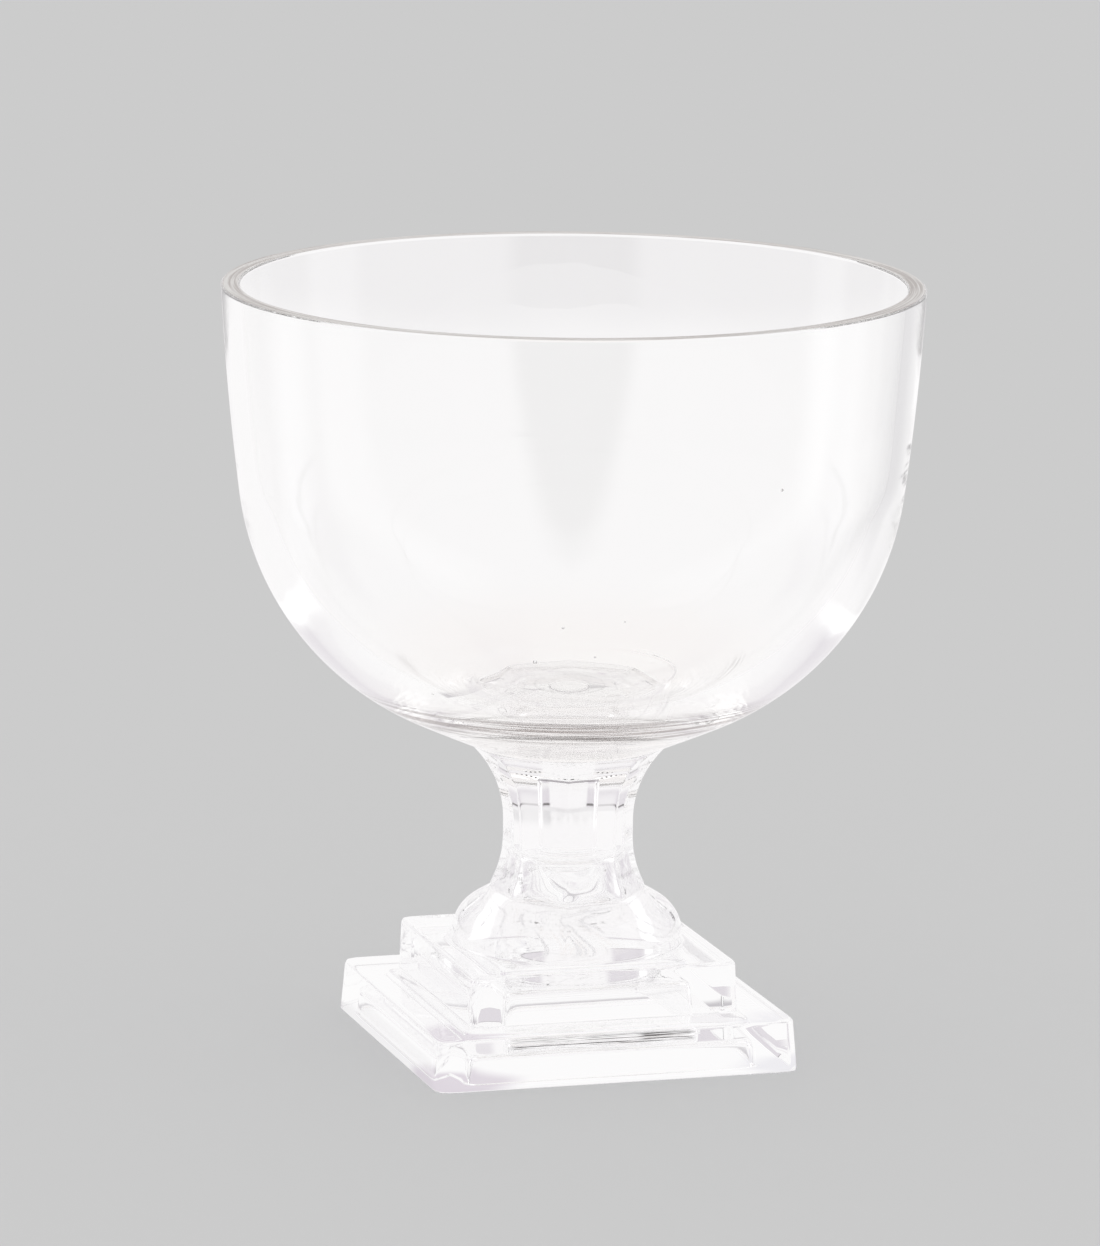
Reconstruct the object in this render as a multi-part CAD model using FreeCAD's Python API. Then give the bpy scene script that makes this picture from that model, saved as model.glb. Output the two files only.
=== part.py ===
import FreeCAD, Part
import math
import os

# A clear glass pedestal bowl: a thick blown bowl bonded on a pressed foot, whose faceted stem
# rises from a round bell on a two-step square plinth. The foot is hollow from below.

os.makedirs("parts", exist_ok=True)
V = FreeCAD.Vector

# Sizes are in millimetres and angles in degrees. +Z is up from the middle of the foot's underside.

# Bowl
rim_radius = 100.0
rim_wall = 5.4
rim_arris = 0.5
bowl_height = 132.8
bowl_floor = 15.0
seat_radius = 27.0
floor_spot_radius = 22.0

# Bond between the bowl and the foot
bond_thickness = 0.2
bond_edge_gap = 0.5

# Stem, measured over the arrises where its facets meet
foot_height = 87.0
facet_count = 8
facet_turn = 5.7
flange_radius = 28.0
flange_land = 0.8
waist_radius = 18.8
waist_top = 65.0
waist_bottom = 60.0
stem_root_radius = 25.3
stem_root = 42.0

# Round bell under the stem
bell_radius = 33.3
bell_side = 2.3
bell_shoulder_radius = 11.5
bell_slope = 60.0
bell_throat_radius = 8.0
bell_neck_radius = 17.2

# Stepped square plinth
lower_side = 107.4
lower_height = 14.9
lower_draft = 4.2
upper_side = 79.4
upper_height = 14.6
upper_draft = 2.0
corner_radius = 3.2
step_edge_radius = 1.0
foot_edge_radius = 0.6

# Hollow pressed into the foot from below
plinth_wall = 11.0
step_glass = 6.9
pocket_draft = 4.0
pocket_corner_radius = 3.0
pocket_edge_radius = 1.8
dome_mouth_radius = 23.0
dome_top_radius = 13.0
dome_top = 56.0
dome_shoulder_radius = 4.0
bore_radius = 6.2
bore_glass = 4.0
bore_edge_radius = 2.0

overrun = 1.0

# The bowl's outside from the seat up, as shares of the way out to the rim and of the way up.
# Every second point is where one arc ends and the next begins.
outside_shares = [(0.134, 0.032), (0.268, 0.065), (0.712, 0.261), (0.926, 0.552), (0.971, 0.775)]

# The bowl's inside from the floor spot up, as shares of the way out to the inner rim and of the way up
inside_shares = [(0.258, 0.016), (0.491, 0.087), (0.792, 0.293), (0.935, 0.556), (0.972, 0.778)]

# Every bend is followed in short straight runs, so that the meshes of the turned shapes stay light
outside_run_counts = [1, 5, 1]
inside_run_counts = [2, 4, 1]
bell_run_count = 2
dome_run_count = 1
edge_run_count = 2
corner_run_count = 4

plinth_height = lower_height + upper_height
bowl_base = foot_height + bond_thickness
inner_rim_radius = rim_radius - rim_wall


def line(start, end):
    return Part.LineSegment(start, end).toShape()


def outline_face(edges):
    return Part.Face(Part.Wire(Part.__sortEdges__(edges)))


def turned(outline):
    """Turns a half outline in the XZ plane about the Z axis. The way back to its first point closes it."""
    face = Part.Face(Part.makePolygon(outline + [outline[0]]))
    return face.revolve(V(0, 0, 0), V(0, 0, 1), 360)


def spread(shares, inner, outer, low, high):
    """Outline points from shares of the way out and of the way up."""
    return [V(inner + (outer - inner) * out, 0, low + (high - low) * up) for out, up in shares]


def along_arcs(points, runs):
    """Stops along arcs that each go from one point through the next to the one after it."""
    stops = [points[0]]
    for number, count in enumerate(runs):
        start, middle, end = points[2 * number:2 * number + 3]
        stops += Part.Arc(start, middle, end).toShape().discretize(count + 1)[1:]
    return stops


def bend(centre, radius, from_angle, to_angle, runs):
    """Stops round a bend in the XZ plane. Its angles are measured from +X towards +Z."""
    angles = [math.radians(from_angle + (to_angle - from_angle) * step / runs) for step in range(runs + 1)]
    return [centre + V(math.cos(angle), 0, math.sin(angle)) * radius for angle in angles]


def make_bowl():
    top = bowl_base + bowl_height
    ground = top - rim_arris
    floor = bowl_base + bowl_floor
    seat_edge = V(seat_radius, 0, bowl_base)
    floor_edge = V(floor_spot_radius, 0, floor)
    outer_edge = V(rim_radius, 0, ground)
    inner_edge = V(inner_rim_radius, 0, ground)
    outside = spread(outside_shares, seat_radius, rim_radius, bowl_base, ground)
    inside = spread(inside_shares, floor_spot_radius, inner_rim_radius, floor, ground)
    outer_wall = along_arcs([seat_edge] + outside + [outer_edge], outside_run_counts)
    inner_wall = along_arcs([floor_edge] + inside + [inner_edge], inside_run_counts)
    ground_ring = [V(rim_radius - rim_arris, 0, top), V(inner_rim_radius + rim_arris, 0, top)]
    return turned([V(0, 0, bowl_base)] + outer_wall + ground_ring + inner_wall[::-1] + [V(0, 0, floor)])


def make_bond():
    return Part.makeCylinder(seat_radius - bond_edge_gap, bond_thickness, V(0, 0, foot_height))


def flare(waist, waist_z, end, end_z):
    """An arc that leaves the waist straight along the stem and opens to the end radius."""
    turn = 2 * math.atan2(end - waist, abs(end_z - waist_z))
    radius = abs(end_z - waist_z) / math.sin(turn)
    centre = V(waist + radius, 0, waist_z)
    half_turn = math.copysign(math.degrees(turn), waist_z - end_z)
    start, middle, stop = bend(centre, radius, 180, 180 + half_turn, 2)
    return Part.Arc(start, middle, stop).toShape()


def facet_pair():
    """Two opposite facets of the stem, as a waisted outline pushed straight through."""
    to_flat = math.cos(math.pi / facet_count)
    flange = flange_radius * to_flat
    waist = waist_radius * to_flat
    root = stem_root_radius * to_flat
    land = foot_height - flange_land
    side = [
        flare(waist, waist_bottom, root, stem_root),
        line(V(waist, 0, waist_bottom), V(waist, 0, waist_top)),
        flare(waist, waist_top, flange, land),
        line(V(flange, 0, land), V(flange, 0, foot_height)),
    ]
    other_side = [edge.mirror(V(0, 0, 0), V(1, 0, 0)) for edge in side]
    top = line(V(-flange, 0, foot_height), V(flange, 0, foot_height))
    bottom = line(V(-root, 0, stem_root), V(root, 0, stem_root))
    reach = flange_radius + overrun
    face = outline_face(side + other_side + [top, bottom])
    face.translate(V(0, -reach, 0))
    return face.extrude(V(0, 2 * reach, 0))


def make_stem():
    """The facets that all the pairs share, one pair for each half of the facet count."""
    stem = facet_pair()
    for step in range(1, facet_count // 2):
        pair = facet_pair()
        pair.rotate(V(0, 0, 0), V(0, 0, 1), step * 360 / facet_count)
        stem = stem.common(pair)
    stem.rotate(V(0, 0, 0), V(0, 0, 1), facet_turn)
    return stem


def make_bell():
    slope = math.radians(bell_slope)
    side_top = V(bell_radius, 0, plinth_height + bell_side)
    shoulder_centre = side_top - V(bell_shoulder_radius, 0, 0)
    shoulder = bend(shoulder_centre, bell_shoulder_radius, 0, bell_slope, bell_run_count)
    throat_x = bell_neck_radius + bell_throat_radius * (1 - math.cos(slope))
    throat_z = shoulder[-1].z + (shoulder[-1].x - throat_x) / math.tan(slope)
    neck_z = throat_z + bell_throat_radius * math.sin(slope)
    throat_centre = V(bell_neck_radius + bell_throat_radius, 0, neck_z)
    throat = bend(throat_centre, bell_throat_radius, 180 + bell_slope, 180, bell_run_count)
    start = plinth_height - overrun
    return turned([V(0, 0, start), V(bell_radius, 0, start)] + shoulder + throat + [V(0, 0, neck_z)])


def rounded_square(half, corner, height):
    """A square wire with rounded corners, centred on the Z axis."""
    points = []
    corner_centre = V(half - corner, half - corner, height)
    for quarter in range(4):
        for step in range(corner_run_count + 1):
            angle = math.radians(step * 90 / corner_run_count)
            point = corner_centre + V(math.cos(angle), math.sin(angle), 0) * corner
            points.append(FreeCAD.Rotation(V(0, 0, 1), quarter * 90).multVec(point))
    return Part.makePolygon(points + [points[0]])


def drafted_side(half, low, high, draft, edge, start):
    """The side of a block that is half wide at low, leans in upwards and is rounded over at its top."""
    lean = math.tan(math.radians(draft))
    edge_centre = V(half - (high - edge - low) * lean - edge, 0, high - edge)
    return [V(half + (low - start) * lean, 0, start)] + bend(edge_centre, edge, 0, 90, edge_run_count)


def square_block(side, corner):
    """A block of rounded squares, one for each point of its side."""
    return Part.makeLoft([rounded_square(point.x, corner, point.z) for point in side], True, True)


def make_plinth():
    foot_edge = V(lower_side / 2 - foot_edge_radius, 0, 0)
    lower = drafted_side(lower_side / 2, 0, lower_height, lower_draft, step_edge_radius, foot_edge_radius)
    start = lower_height - overrun
    upper = drafted_side(upper_side / 2, lower_height, plinth_height, upper_draft, step_edge_radius, start)
    return square_block([foot_edge] + lower, corner_radius).fuse(square_block(upper, corner_radius))


def make_pockets():
    """The square steps of the hollow, one glass wall inside the steps of the plinth."""
    lower_top = lower_height - step_glass
    upper_top = plinth_height - step_glass
    lower_half = lower_side / 2 - plinth_wall
    upper_half = upper_side / 2 - plinth_wall
    start = lower_top - overrun
    lower = drafted_side(lower_half, 0, lower_top, pocket_draft, pocket_edge_radius, -overrun)
    upper = drafted_side(upper_half, lower_top, upper_top, pocket_draft, pocket_edge_radius, start)
    return square_block(lower, pocket_corner_radius).fuse(square_block(upper, pocket_corner_radius))


def make_bore():
    """The round end of the hollow: a dome under the bell and a blind bore up the stem."""
    start = plinth_height - step_glass - overrun
    shoulder_centre = V(dome_top_radius - dome_shoulder_radius, 0, dome_top - dome_shoulder_radius)
    shoulder = bend(shoulder_centre, dome_shoulder_radius, 0, 90, dome_run_count)
    bore_top = foot_height - bore_glass
    edge_centre = V(bore_radius - bore_edge_radius, 0, bore_top - bore_edge_radius)
    edge = bend(edge_centre, bore_edge_radius, 0, 90, edge_run_count)
    mouth = [V(0, 0, start), V(dome_mouth_radius, 0, start)]
    return turned(mouth + shoulder + [V(bore_radius, 0, dome_top)] + edge + [V(0, 0, bore_top)])


def make_foot():
    outside = make_plinth().fuse([make_bell(), make_stem()])
    hollow = make_pockets().fuse(make_bore())
    return outside.cut(hollow).removeSplitter()


pieces = {
    "bowl": make_bowl,
    "bond_film": make_bond,
    "foot": make_foot,
}

for name, make in pieces.items():
    solid = make()
    if solid.ShapeType == "Compound" and len(solid.Solids) == 1:
        solid = solid.Solids[0]
    solid.exportStep("parts/" + name + ".step")
    box = solid.BoundBox
    print(name, len(solid.Solids), solid.isValid(), round(solid.Volume), [round(v, 2) for v in
          (box.XMin, box.YMin, box.ZMin, box.XMax, box.YMax, box.ZMax)])
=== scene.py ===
from math import atan2, cos, hypot, pi, radians, sin, sqrt, tan
import bmesh
import bpy
from mathutils import Matrix, Vector


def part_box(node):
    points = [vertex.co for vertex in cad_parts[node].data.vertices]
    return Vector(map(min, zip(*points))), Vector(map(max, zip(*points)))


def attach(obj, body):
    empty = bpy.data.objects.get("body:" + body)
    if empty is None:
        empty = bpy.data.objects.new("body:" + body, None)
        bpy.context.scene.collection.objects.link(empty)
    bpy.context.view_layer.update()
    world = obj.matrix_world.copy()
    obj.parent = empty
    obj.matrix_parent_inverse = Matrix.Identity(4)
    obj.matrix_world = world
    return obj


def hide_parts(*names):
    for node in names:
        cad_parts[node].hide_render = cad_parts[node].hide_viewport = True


# Looks of a clear glass bowl for floating candles: a blown bowl bonded on a pressed foot.
# Everything is in metres, in the frame's own place: +Z up from the middle of the foot's underside.

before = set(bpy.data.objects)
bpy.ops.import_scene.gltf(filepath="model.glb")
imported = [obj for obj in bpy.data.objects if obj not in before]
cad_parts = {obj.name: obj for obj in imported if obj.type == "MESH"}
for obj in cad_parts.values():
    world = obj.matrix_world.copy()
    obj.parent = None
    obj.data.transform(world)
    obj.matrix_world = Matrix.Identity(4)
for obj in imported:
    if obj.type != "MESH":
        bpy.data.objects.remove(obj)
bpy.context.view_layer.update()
bowlLow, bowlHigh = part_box("bowl")
bondLow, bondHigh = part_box("bond_film")
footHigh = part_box("foot")[1]
mm = 0.001
print("frame loaded")


# Helpers for the glass pieces

bends = {
    "chordShare": 0.45,  # the middle of a small bend, between its chord and its sharp corner
    "cornerShare": 0.55,
    "hold": 0.35 * mm,  # from a bend to the ring that keeps the flat beside it flat
}


def startPiece():
    if bpy.context.mode != "OBJECT":
        bpy.ops.object.mode_set(mode="OBJECT")
    bpy.ops.object.select_all(action="DESELECT")


def startEdges():
    # edit mode on the new ring, all of it selected
    bpy.ops.object.transform_apply(location=True, rotation=True, scale=True)
    bpy.ops.object.mode_set(mode="EDIT")
    bpy.ops.mesh.select_mode(type="EDGE")
    bpy.ops.mesh.select_all(action="SELECT")


def closeShell():
    # edit mode: fills what is open and turns all the faces outwards
    bpy.ops.mesh.select_all(action="SELECT")
    bpy.ops.mesh.fill_holes(sides=0)
    bpy.ops.mesh.select_all(action="SELECT")
    bpy.ops.mesh.normals_make_consistent(inside=False)


def circleCentre(start, middle, end):
    # centre of the circle through three outline points (radius, height)
    (ax, az), (bx, bz), (cx, cz) = start, middle, end
    double = 2 * (ax * (bz - cz) + bx * (cz - az) + cx * (az - bz))
    a, b, c = ax * ax + az * az, bx * bx + bz * bz, cx * cx + cz * cz
    centreX = (a * (bz - cz) + b * (cz - az) + c * (az - bz)) / double
    centreZ = (a * (cx - bx) + b * (ax - cx) + c * (bx - ax)) / double
    return centreX, centreZ


def alongArc(start, middle, end, runs):
    # stops along the arc through three outline points, without its start
    centreX, centreZ = circleCentre(start, middle, end)
    radius = hypot(start[0] - centreX, start[1] - centreZ)
    first = atan2(start[1] - centreZ, start[0] - centreX)
    last = atan2(end[1] - centreZ, end[0] - centreX)
    turn = (last - first + pi) % (2 * pi) - pi
    angles = [first + turn * step / runs for step in range(1, runs + 1)]
    return [(centreX + radius * cos(angle), centreZ + radius * sin(angle)) for angle in angles]


def roundOff(corner, before, after, rounding, hold):
    # a corner of an outline as a small bend, with a ring close by on each side
    point = Vector(corner)
    back = (Vector(before) - point).normalized()
    ahead = (Vector(after) - point).normalized()
    start, end = point + back * rounding, point + ahead * rounding
    middle = (start + end) / 2 * bends["chordShare"] + point * bends["cornerShare"]
    return [tuple(start + back * hold), tuple(start), tuple(middle), tuple(end), tuple(end + ahead * hold)]


def roundedOutline(corners, hold=bends["hold"]):
    # corners are (radius, height, rounding); a corner with no rounding stays as it is
    outline = []
    for number, (radius, height, rounding) in enumerate(corners):
        if rounding:
            before, after = corners[number - 1][:2], corners[number + 1][:2]
            outline += roundOff((radius, height), before, after, rounding, hold)
        else:
            outline.append((radius, height))
    return outline


def pullRing(last, radius, height):
    # extrudes the selected ring to a new height and sizes it there
    lastRadius, lastHeight = last
    bpy.ops.mesh.extrude_region_move(TRANSFORM_OT_translate={"value": (0, 0, height - lastHeight)})
    share = radius / lastRadius
    bpy.ops.transform.resize(value=(share, share, 1), center_override=(0, 0, height))
    return radius, height


def pullRings(outline, last):
    # pulls the selected ring from outline point to outline point
    for radius, height in outline:
        last = pullRing(last, radius, height)
    return last


def selectEdges(mesh, wanted):
    # edit mode: selects the edges for which wanted(edge) is true
    shape = bmesh.from_edit_mesh(mesh)
    for face in shape.faces:
        face.select = False
    for edge in shape.edges:
        edge.select = False
    for vertex in shape.verts:
        vertex.select = False
    for edge in shape.edges:
        if wanted(edge):
            edge.select = True
    shape.select_flush_mode()
    bmesh.update_edit_mesh(mesh)


def subdivideSmooth(piece):
    rounder = piece.modifiers.new("smooth", "SUBSURF")
    rounder.levels = 1
    rounder.render_levels = 1
    bpy.ops.object.modifier_apply(modifier="smooth")


def finishPiece(piece, node):
    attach(piece, "root")
    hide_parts(node)


# Helpers for the materials

def newMaterial(name):
    material = bpy.data.materials.new(name)
    material.use_nodes = True
    material.node_tree.nodes.clear()
    return material, material.node_tree.nodes, material.node_tree.links


def addNode(nodes, kind, **inputs):
    node = nodes.new(kind)
    for name, value in inputs.items():
        node.inputs[name.replace("_", " ")].default_value = value
    return node


def mathNode(nodes, links, operation, first, second=None):
    node = nodes.new("ShaderNodeMath")
    node.operation = operation
    for socket, value in zip(node.inputs, (first, second)):
        if value is None:
            continue
        if isinstance(value, (int, float)):
            socket.default_value = value
        else:
            links.new(value, socket)
    return node.outputs[0]


def times(nodes, links, first, second):
    return mathNode(nodes, links, "MULTIPLY", first, second)


def splitXYZ(nodes, links, vector):
    parts = nodes.new("ShaderNodeSeparateXYZ")
    links.new(vector, parts.inputs[0])
    return parts.outputs


def mapRange(nodes, links, value, low, high, start, end):
    node = nodes.new("ShaderNodeMapRange")
    node.interpolation_type = "SMOOTHSTEP"
    links.new(value, node.inputs["Value"])
    for name, number in (("From Min", low), ("From Max", high), ("To Min", start), ("To Max", end)):
        node.inputs[name].default_value = number
    return node.outputs["Result"]


def between(nodes, links, value, stops):
    # 1 between the two middle stops, fading to 0 at the outer ones
    start, full, last, end = stops
    return times(nodes, links, mapRange(nodes, links, value, start, full, 0, 1),
                 mapRange(nodes, links, value, last, end, 1, 0))


def mixColor(nodes, links, mask, first, second):
    mix = nodes.new("ShaderNodeMix")
    mix.data_type = "RGBA"
    links.new(mask, mix.inputs["Factor"])
    for name, value in (("A", first), ("B", second)):
        if isinstance(value, tuple):
            mix.inputs[name].default_value = value
        else:
            links.new(value, mix.inputs[name])
    return mix.outputs["Result"]


def mixShaders(nodes, links, mask, first, second):
    mix = nodes.new("ShaderNodeMixShader")
    for socket, value in zip(mix.inputs, (mask, first, second)):
        links.new(value, socket)
    return mix.outputs[0]


def setSurface(nodes, links, shader, kind="ShaderNodeOutputMaterial"):
    links.new(shader, nodes.new(kind).inputs["Surface"])


def wayOut(nodes, links, vector):
    # distance from the middle, seen from above
    flat = nodes.new("ShaderNodeVectorMath")
    flat.operation = "MULTIPLY"
    links.new(vector, flat.inputs[0])
    flat.inputs[1].default_value = (1, 1, 0)
    length = nodes.new("ShaderNodeVectorMath")
    length.operation = "LENGTH"
    links.new(flat.outputs["Vector"], length.inputs[0])
    return length.outputs["Value"]


def hardNoise(nodes, links, x, y, z, look):
    # noise over stretched coordinates, hardened between two levels; an axis with no value stays 0
    grain = nodes.new("ShaderNodeCombineXYZ")
    for name, value in (("X", x), ("Y", y), ("Z", z)):
        if value is not None:
            links.new(value, grain.inputs[name])
    noise = addNode(nodes, "ShaderNodeTexNoise", Scale=1.0, Detail=look["detail"])
    links.new(grain.outputs["Vector"], noise.inputs["Vector"])
    return mapRange(nodes, links, noise.outputs["Fac"], *look["levels"], 0, 1)


def newGroup(name, inputs, outputs):
    group = bpy.data.node_groups.new(name, "ShaderNodeTree")
    for way, sockets in (("INPUT", inputs), ("OUTPUT", outputs)):
        for socket, kind in sockets.items():
            group.interface.new_socket(name=socket, in_out=way, socket_type="NodeSocket" + kind)
    nodes, links = group.nodes, group.links
    return group, nodes, links, nodes.new("NodeGroupInput").outputs, nodes.new("NodeGroupOutput").inputs


def makeUnevenGroup():
    # soft unevenness that the glass surfaces share, each with its own size and depth
    inputs = {"Vector": "Vector", "Scale": "Float", "Detail": "Float", "Distance": "Float"}
    group, nodes, links, given, result = newGroup("unevenGlass", inputs, {"Normal": "Vector"})
    noise = nodes.new("ShaderNodeTexNoise")
    for name in ("Vector", "Scale", "Detail"):
        links.new(given[name], noise.inputs[name])
    bump = addNode(nodes, "ShaderNodeBump", Strength=1.0)
    links.new(noise.outputs["Fac"], bump.inputs["Height"])
    links.new(given["Distance"], bump.inputs["Distance"])
    links.new(bump.outputs["Normal"], result["Normal"])
    return group


unevenGroup = makeUnevenGroup()


def addRipple(nodes, links, place, shader, ripple):
    # ripple is (scale, detail, depth)
    node = nodes.new("ShaderNodeGroup")
    node.node_tree = unevenGroup
    links.new(place, node.inputs["Vector"])
    for name, value in zip(("Scale", "Detail", "Distance"), ripple):
        node.inputs[name].default_value = value
    links.new(node.outputs["Normal"], shader.inputs["Normal"])


# Clear glass of the bowl and the foot

glassLook = {
    "ior": 1.5,
    "roughness": 0.0,
    "shadowColor": (0.975, 0.975, 0.98, 1),
    "bowlColor": (0.985, 0.987, 0.985, 1),
    "bowlWarm": (0.975, 0.95, 0.932, 1),
    "warmHeights": (0.095, 0.116),
    "footColor": (0.987, 0.9855, 0.987, 1),
    "footRipple": (75, 1.0, 0.02 * mm),  # scale, detail and depth
}


def addClearGlass(nodes, color):
    return addNode(nodes, "ShaderNodeBsdfPrincipled", Base_Color=color, Roughness=glassLook["roughness"],
                   IOR=glassLook["ior"], Transmission_Weight=1.0)


def letLightThrough(nodes, links, glass):
    # shadow and diffuse rays go straight through, so that the floor round the object stays light
    light = nodes.new("ShaderNodeLightPath").outputs
    clear = addNode(nodes, "ShaderNodeBsdfTransparent", Color=glassLook["shadowColor"])
    plain = mathNode(nodes, links, "MAXIMUM", light["Is Shadow Ray"], light["Is Diffuse Ray"])
    setSurface(nodes, links, mixShaders(nodes, links, plain, glass.outputs[0], clear.outputs[0]))


# Painted reflection: brown-dark streaks painted round the front of the bowl's underside, in place of dark
# surroundings seen in the thick glass

darkReflectionLook = {
    "color": (0.19, 0.155, 0.145, 1),
    "side": (-0.289, -0.957, 0),  # towards the middle of the front
    "sideFade": (0.0, 0.25),
    "reach": (0.046, 0.052, 0.060, 0.068),  # distances from the middle
    "topFade": (0.107, 0.110),
    "perMetre": 1250,  # how close they lie
    "detail": 3.0,
    "levels": (0.42, 0.54),
}


def addDarkReflectionMask(nodes, links, place):
    # mask of the painted dark reflection, on the front of the underside alone
    look = darkReflectionLook
    distance = wayOut(nodes, links, place)
    parts = splitXYZ(nodes, links, place)
    across = [mathNode(nodes, links, "DIVIDE", parts[name], distance) for name in ("X", "Y")]
    out = times(nodes, links, distance, look["perMetre"])
    darkReflections = hardNoise(nodes, links, *across, out, look)
    under = mapRange(nodes, links, parts["Z"], *look["topFade"], 1, 0)
    ahead = nodes.new("ShaderNodeVectorMath")
    ahead.operation = "DOT_PRODUCT"
    links.new(place, ahead.inputs[0])
    ahead.inputs[1].default_value = look["side"]
    ahead = mathNode(nodes, links, "DIVIDE", ahead.outputs["Value"], distance)
    front = mapRange(nodes, links, ahead, *look["sideFade"], 0, 1)
    darkReflections = times(nodes, links, darkReflections, between(nodes, links, distance, look["reach"]))
    return times(nodes, links, darkReflections, times(nodes, links, under, front))


def makeBowlGlass(name):
    material, nodes, links = newMaterial(name)
    glass = addClearGlass(nodes, glassLook["bowlColor"])
    place = nodes.new("ShaderNodeTexCoord").outputs["Object"]

    # the thick glass at the bottom is a little warmer
    up = mapRange(nodes, links, splitXYZ(nodes, links, place)["Z"], *glassLook["warmHeights"], 0, 1)
    body = mixColor(nodes, links, up, glassLook["bowlWarm"], glassLook["bowlColor"])

    # the painted reflection shows from outside alone
    inside = nodes.new("ShaderNodeNewGeometry").outputs["Backfacing"]
    outside = mathNode(nodes, links, "SUBTRACT", 1, inside)
    darkReflections = times(nodes, links, addDarkReflectionMask(nodes, links, place), outside)
    links.new(mixColor(nodes, links, darkReflections, body, darkReflectionLook["color"]), glass.inputs["Base Color"])
    letLightThrough(nodes, links, glass)
    return material


# Painted reflection: a dark broken line painted low in the front of the foot's hollow, in place of dark
# surroundings seen at a grazing angle

paintedLineLook = {
    "color": (0.012, 0.010, 0.010, 1),
    "heights": (0.0077, 0.0079, 0.0091, 0.0095),
    "depths": (-0.0300, -0.0295, -0.0281, -0.0276),
    "endFade": (0.0255, 0.0285),
    "grainAlong": 45.0,
    "grainUp": 3600.0,
    "detail": 2.0,
    "levels": (0.48, 0.54),
}


def addPaintedLine(nodes, links, place):
    # mask of the painted dark reflection line
    look = paintedLineLook
    parts = splitXYZ(nodes, links, place)
    along = times(nodes, links, parts["X"], look["grainAlong"])
    up = times(nodes, links, parts["Z"], look["grainUp"])
    broken = hardNoise(nodes, links, along, None, up, look)
    band = times(nodes, links, between(nodes, links, parts["Z"], look["heights"]),
                 between(nodes, links, parts["Y"], look["depths"]))
    sideways = mathNode(nodes, links, "ABSOLUTE", parts["X"])
    band = times(nodes, links, band, mapRange(nodes, links, sideways, *look["endFade"], 1, 0))
    return times(nodes, links, band, broken)


def makeFootGlass(name):
    material, nodes, links = newMaterial(name)
    glass = addClearGlass(nodes, glassLook["footColor"])
    place = nodes.new("ShaderNodeTexCoord").outputs["Object"]
    addRipple(nodes, links, place, glass, glassLook["footRipple"])
    # the painted dark reflection line darkens the foot's colour
    color = mixColor(nodes, links, addPaintedLine(nodes, links, place), glassLook["footColor"], paintedLineLook["color"])
    links.new(color, glass.inputs["Base Color"])
    letLightThrough(nodes, links, glass)
    return material


# Ground glass of the rim: matt, with grinding marks that run round it

groundLook = {
    "color": (0.76, 0.74, 0.72, 1),
    "dark": (0.46, 0.42, 0.40, 1),
    "roughness": 0.5,
    "transmission": 0.2,
    "marksRound": 25.0,
    "marksAcross": 2200,
    "detail": 4.0,
    "levels": (0.38, 0.6),
    "grain": (2500.0, 3.0, 0.02 * mm),  # scale, detail and depth
}


def makeGroundGlass(name):
    look = groundLook
    material, nodes, links = newMaterial(name)
    ground = addNode(nodes, "ShaderNodeBsdfPrincipled", Roughness=look["roughness"], IOR=glassLook["ior"],
                     Transmission_Weight=look["transmission"])
    place = nodes.new("ShaderNodeTexCoord").outputs["Object"]
    parts = splitXYZ(nodes, links, place)
    around = [times(nodes, links, parts[name], look["marksRound"]) for name in ("X", "Y")]
    out = times(nodes, links, wayOut(nodes, links, place), look["marksAcross"])
    marks = hardNoise(nodes, links, *around, out, look)
    links.new(mixColor(nodes, links, marks, look["dark"], look["color"]), ground.inputs["Base Color"])
    addRipple(nodes, links, place, ground, look["grain"])
    setSurface(nodes, links, ground.outputs[0])
    return material


# The end of the bore: a little frosted, with a dark colour that is painted shade for the dark line the
# glass shows there

frostShadeLook = {
    "color": (0.30, 0.28, 0.30, 1),
    "roughness": 0.3,
    "grain": (900.0, 3.0, 0.05 * mm),  # scale, detail and depth
}


def makeFrostShadeGlass(name):
    material, nodes, links = newMaterial(name)
    # frosted glass whose dark colour is painted shade
    frost = addNode(nodes, "ShaderNodeBsdfPrincipled", Base_Color=frostShadeLook["color"],
                    Roughness=frostShadeLook["roughness"], IOR=glassLook["ior"], Transmission_Weight=1.0)
    place = nodes.new("ShaderNodeTexCoord").outputs["Object"]
    addRipple(nodes, links, place, frost, frostShadeLook["grain"])
    setSurface(nodes, links, frost.outputs[0])
    return material


# Glass wetted by the bond: light goes straight on

contactLook = {
    "color": (0.97, 0.965, 0.96, 1),
    "roughness": 0.0,
    "ior": 1.001,
}


def makeContactGlass(name):
    material, nodes, links = newMaterial(name)
    film = addNode(nodes, "ShaderNodeBsdfPrincipled", Base_Color=contactLook["color"],
                   Roughness=contactLook["roughness"], IOR=contactLook["ior"], Transmission_Weight=1.0)
    setSurface(nodes, links, film.outputs[0])
    return material


bowlGlass = makeBowlGlass("bowlGlass")
groundGlass = makeGroundGlass("groundGlass")
footGlass = makeFootGlass("footGlass")
frostShadeGlass = makeFrostShadeGlass("frostShadeGlass")
contactGlass = makeContactGlass("contactGlass")
print("glass ready")


# Bowl

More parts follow.
